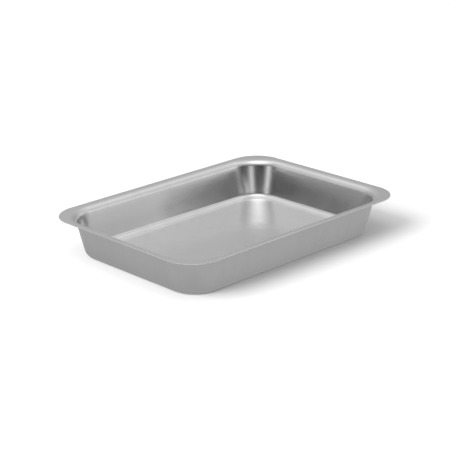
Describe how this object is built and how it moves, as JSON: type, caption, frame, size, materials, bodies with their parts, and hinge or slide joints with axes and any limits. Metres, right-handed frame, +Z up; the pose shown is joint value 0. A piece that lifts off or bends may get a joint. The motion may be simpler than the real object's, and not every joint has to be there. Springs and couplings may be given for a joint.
{
  "type": "pill counting tray",
  "caption": "Shallow rectangular tray pressed from stainless steel sheet, with leaning walls, rounded corners and a flat turned-out rim, for counting or holding pills.",
  "frame": {"origin": "centre of the underside of the floor, which is the bottom centre of the whole tray", "axes": "+X along the tray's length, +Y across its width, +Z up, out of the tray's mouth"},
  "size_m": [0.25, 0.18, 0.0346],
  "materials": {
    "stainless_sheet": "satin"
  },
  "bodies": {
    "root": {"tray": "stainless_sheet"}
  },
  "joints": []
}
